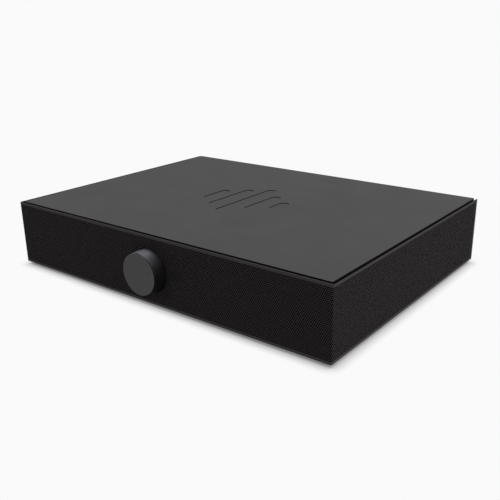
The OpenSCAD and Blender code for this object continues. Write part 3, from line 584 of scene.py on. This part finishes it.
def phono_trim():
    """Plated shell, panel washer and coloured insulator on each phono socket."""
    plating = finish("phono_shell", (0.74, 0.56, 0.26), 0.24, 1.0, grain=0.0008, vary=0.06)
    white = finish("phono_white", (0.62, 0.61, 0.58), 0.4, grain=0.0006, vary=0.05)
    red = finish("phono_red", (0.42, 0.018, 0.016), 0.4, grain=0.0006, vary=0.08)
    violet = finish("phono_violet", (0.10, 0.045, 0.16), 0.4, grain=0.0006, vary=0.08)

    shell_r, shell_bore = 4.18 * MM, 3.46 * MM
    washer_r, washer_bore, washer_t = 5.7 * MM, 3.9 * MM, 0.95 * MM
    core_r, core_bore = 3.44 * MM, 1.65 * MM
    core_back, core_front = JACK_OUT - 0.58 * MM, JACK_OUT - 0.25 * MM
    shell = [(shell_bore, 0.9 * MM), (shell_r, 0.9 * MM), (shell_r, JACK_OUT - 0.3 * MM),
             (shell_r - 0.23 * MM, JACK_OUT), (shell_bore + 0.14 * MM, JACK_OUT),
             (shell_bore, JACK_OUT - 0.15 * MM)]
    washer = [(washer_bore, 0.02 * MM), (washer_r, 0.02 * MM), (washer_r, washer_t - 0.2 * MM),
              (washer_r - 0.2 * MM, washer_t), (washer_bore, washer_t)]
    core = [(core_bore, core_back), (core_r, core_back), (core_r, core_front),
            (core_bore + 0.25 * MM, core_front), (core_bore, core_front - 0.15 * MM)]

    pairs = {"line_jacks": (white, red), "phono_jacks": (white, red), "sub_jack": (violet,)}
    for node, colours in pairs.items():
        low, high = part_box(node)
        for k, colour in enumerate(colours):
            foot = ((low.x + high.x) / 2, PANEL_FACE, high.z - JACK_DROP - k * JACK_PITCH)
            for part, outline, material, slot in (("shell", shell, plating, "post_brass"),
                                                  ("washer", washer, plating, "post_brass"),
                                                  ("insulator", core, colour, "pale_plastic")):
                turned(f"{node}_{k + 1}_{part}", outline, foot, OUT, [material], "chassis",
                       segments=64)


def mains_pins():
    """Bright blades over the inlet's two pins."""
    low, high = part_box("mains_inlet")
    middle = (low + high) / 2
    outline = [(0, 0), (1.24 * MM, 0), (1.24 * MM, 8.4 * MM), (1.1 * MM, 8.75 * MM),
               (0.7 * MM, 8.97 * MM), (0, 9.03 * MM)]
    for side, name in ((-1, "mains_pin_left"), (1, "mains_pin_right")):
        foot = (middle.x + side * PIN_SPREAD, PANEL_FACE - PIN_FOOT, middle.z)
        turned(name, outline, foot, OUT, [MATERIALS["bare_steel"]], "chassis",
               segments=32)


def data_tongue():
    """Moulded tongue of the square data socket with four plated contacts."""
    low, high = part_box("usb_socket")
    middle = Vector(((low.x + high.x) / 2, PANEL_FACE - 0.95 * MM, (low.z + high.z) / 2))
    half_w, half_h, deep = 2.85 * MM, 1.65 * MM, 11 * MM
    low, high = middle + Vector((-half_w, -deep, -half_h)), middle + Vector((half_w, 0, half_h))
    slab("data_tongue", low, high, 0.25 * MM, MATERIALS["pale_plastic"], "chassis")
    painted_shadow = Vector((0.45 * MM, 3.8 * MM, 0.06 * MM))
    across, back, up = 0.95 * MM, 4.2 * MM, 1.66 * MM
    for k in range(4):
        spot = middle + Vector((-across if k % 2 else across, -back, up if k < 2 else -up))
        slab(f"data_contact_{k + 1}", spot - painted_shadow, spot + painted_shadow, 0.04 * MM,
             MATERIALS["post_brass"], "chassis")


def stud_thread():
    """Turns of thread on the grounding stud beyond its nut."""
    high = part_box("ground_post")[1]
    low_nut, high_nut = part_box("ground_nut")
    centre = (low_nut + high_nut) / 2
    clear = 0.3 * MM
    core_r, root_r, crest_r = 1.8 * MM, 1.99 * MM, 2.05 * MM
    start = high_nut.y + clear
    turns = int((high.y - start - clear) / THREAD_PITCH)
    outline = [(core_r, 0)]
    for k in range(turns):
        outline += [(root_r, k * THREAD_PITCH), (crest_r, (k + 0.3) * THREAD_PITCH),
                    (crest_r, (k + 0.6) * THREAD_PITCH), (root_r, (k + 0.9) * THREAD_PITCH)]
    outline.append((core_r, turns * THREAD_PITCH))
    turned("stud_thread", outline, (centre.x, start, centre.z), OUT, [MATERIALS["post_brass"]],
           "chassis", segments=48, smooth=15)


def rocker_marks():
    """Bar on the rocker's raised flat and ring on its pressed flat."""
    paint = finish("mark_paint", (0.55, 0.55, 0.54), 0.6, grain=0.0005, vary=0.06)
    proud = 0.05 * MM
    bar = Vector((0.45 * MM, proud, 1.9 * MM))
    ring_in, ring_out = 1.5 * MM, 2.1 * MM
    node = frame["nodes"]["power_rocker"]
    low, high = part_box("power_rocker")
    middle = (low.z + high.z) / 2
    for upper in (True, False):
        flats = [f for f in node.data.polygons
                 if f.normal.y > 0.9 and (f.center.z > middle) == upper]
        area = sum(f.area for f in flats)
        centre = sum((f.center * f.area for f in flats), Vector()) / area
        normal = sum((f.normal * f.area for f in flats), Vector()).normalized()
        centre.x = (low.x + high.x) / 2
        if upper:
            turn = Vector(OUT).rotation_difference(normal).to_matrix().to_4x4()
            slab("rocker_bar_mark", centre - bar, centre + bar, 0.04 * MM, paint,
                 "rocker", turn)
        else:
            outline = [(ring_in, -proud), (ring_out, -proud), (ring_out, proud), (ring_in, proud)]
            turned("rocker_ring_mark", outline, centre, normal, [paint], "rocker",
                   segments=64)


def rounded_frame(name, low, high, radius, line, material):
    """A thin printed outline on the rear panel, between two (x, z) corners."""
    work = bmesh.new()
    quarters = ((high[0], high[1], 0), (low[0], high[1], 90),
                (low[0], low[1], 180), (high[0], low[1], 270))
    rings = []
    for inset in (0, line):
        for y in (PANEL_FACE - 0.02 * MM, PANEL_FACE + 0.03 * MM):
            points = []
            for cx, cz, first in quarters:
                mx = cx - math.copysign(radius, cx - (low[0] + high[0]) / 2)
                mz = cz - math.copysign(radius, cz - (low[1] + high[1]) / 2)
                for k in range(7):
                    a = math.radians(first + 15 * k)
                    points.append(work.verts.new((mx + (radius - inset) * math.cos(a), y,
                                                  mz + (radius - inset) * math.sin(a))))
            rings.append(points)
    count = len(rings[0])
    for one, two in ((0, 1), (1, 3), (3, 2), (2, 0)):
        for k in range(count):
            m = (k + 1) % count
            work.faces.new((rings[one][k], rings[one][m], rings[two][m], rings[two][k]))
    finished(name, work, [material], "chassis")


def printed_groups():
    """Thin outlines printed round the groups of sockets."""
    ink = finish("panel_ink", (0.26, 0.26, 0.26), 0.6, grain=0.0005, vary=0.1)
    tallest, pad, radius, line = 27 * MM, 3.2 * MM, 2.5 * MM, 0.4 * MM
    groups = {"group_line": ("line_jacks", "sub_jack"), "group_phono": ("phono_jacks",),
              "group_digital": ("usb_socket", "optical_socket")}
    for name, nodes in groups.items():
        boxes = [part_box(node) for node in nodes]
        x0, x1 = min(b[0].x for b in boxes), max(b[1].x for b in boxes)
        z1 = max(b[1].z for b in boxes)
        z0 = max(min(b[0].z for b in boxes), z1 - tallest)
        rounded_frame(name, (x0 - pad, z0 - pad), (x1 + pad, z1 + pad), radius, line, ink)


# ---------- floor, light, camera ----------

FLOOR_SIZE = 60.0
SHADOW_REACH = 0.013
PAGE_WHITE = 0.955
AMBIENT = 0.45
FLOOR_LIGHT = 0.25

AZIMUTH, ELEVATION, ROLL = (math.radians(a) for a in (38.25, 19.74, -0.85))
EYE_OFFSET = Vector((0.4934, -0.6203, 0.2971))
LENS, SENSOR = 48.29, 36


def by_ray(tree, as_light, as_seen):
    """One number for light on the object and another for what the camera sees directly."""
    rays = tree.nodes.new("ShaderNodeLightPath")
    return span(tree, rays.outputs["Is Camera Ray"], as_light, as_seen)


def floor():
    """Plain pale floor, bright enough to read white, with a painted contact shadow darkening it
    close round what stands on it.
    """
    bpy.ops.mesh.primitive_plane_add(size=FLOOR_SIZE, location=(0, 0, 0))
    plane = bpy.context.object
    plane.name = "floor"
    material = bpy.data.materials.new("floor_page")
    material.use_nodes = True
    tree = material.node_tree
    tree.nodes.clear()
    out = tree.nodes.new("ShaderNodeOutputMaterial")
    glow = tree.nodes.new("ShaderNodeEmission")
    # Emitted colour darkened by occlusion within SHADOW_REACH: a painted contact shadow.
    painted_shadow = tree.nodes.new("ShaderNodeAmbientOcclusion")
    painted_shadow.samples = 16
    painted_shadow.inputs["Distance"].default_value = SHADOW_REACH
    painted_shadow.inputs["Color"].default_value = (PAGE_WHITE, PAGE_WHITE, PAGE_WHITE, 1)
    tree.links.new(painted_shadow.outputs["Color"], glow.inputs["Color"])
    tree.links.new(by_ray(tree, FLOOR_LIGHT, 1.0), glow.inputs["Strength"])
    tree.links.new(glow.outputs["Emission"], out.inputs["Surface"])
    plane.data.materials.append(material)


def world():
    """Even pale surroundings, dimmer as light than as backdrop."""
    studio = bpy.data.worlds.new("studio")
    bpy.context.scene.world = studio
    studio.use_nodes = True
    tree = studio.node_tree
    back = tree.nodes["Background"]
    back.inputs["Color"].default_value = (1, 1, 1, 1)
    tree.links.new(by_ray(tree, AMBIENT, PAGE_WHITE), back.inputs["Strength"])


def soft_sun(name, direction, strength, spread, colour=(1, 1, 1), only=None):
    """Broad light from a direction, spread over an angle in degrees, on everything or one piece."""
    data = bpy.data.lights.new(name, "SUN")
    data.energy = strength
    data.angle = math.radians(spread)
    data.color = colour
    lamp = bpy.data.objects.new(name, data)
    if only is not None:
        group = bpy.data.collections.new(name + "_only")
        group.objects.link(only)
        lamp.light_linking.receiver_collection = group
    lamp.rotation_euler = Vector(direction).to_track_quat("Z", "Y").to_euler()
    bpy.context.scene.collection.objects.link(lamp)


def camera():
    """Camera at its offset from the middle of the body's bottom face."""
    forward = Vector((-math.sin(AZIMUTH) * math.cos(ELEVATION),
                      math.cos(AZIMUTH) * math.cos(ELEVATION), -math.sin(ELEVATION)))
    right = forward.cross(Vector((0, 0, 1))).normalized()
    up = right.cross(forward)
    across = right * math.cos(ROLL) + up * math.sin(ROLL)
    upright = up * math.cos(ROLL) - right * math.sin(ROLL)
    turn = Matrix((across, upright, -forward)).transposed().to_4x4()
    data = bpy.data.cameras.new("camera")
    data.lens = LENS
    data.sensor_width = SENSOR
    lens = bpy.data.objects.new("camera", data)
    base = Vector((BODY_MID.x, BODY_MID.y, GRILLE_LOW.z))
    lens.matrix_world = Matrix.Translation(base + EYE_OFFSET) @ turn
    bpy.context.scene.collection.objects.link(lens)
    bpy.context.scene.camera = lens


# ---------- the whole ----------

dress_frame()
grille_sheets()
scrim()
knob_piece = knob()
phono_trim()
mains_pins()
data_tongue()
stud_thread()
rocker_marks()
printed_groups()

floor()
world()
soft_sun("side_light", (1.0, 0.25, 0.55), 0.9, 50)
soft_sun("top_light", (0.1, 0.35, 1.0), 1.2, 60)
soft_sun("knob_light", (-0.38, 0.12, 0.85), 9, 30, (0.84, 0.87, 1.0), knob_piece)
camera()
bpy.context.scene.view_settings.view_transform = "Standard"
bpy.context.scene.view_settings.look = "None"
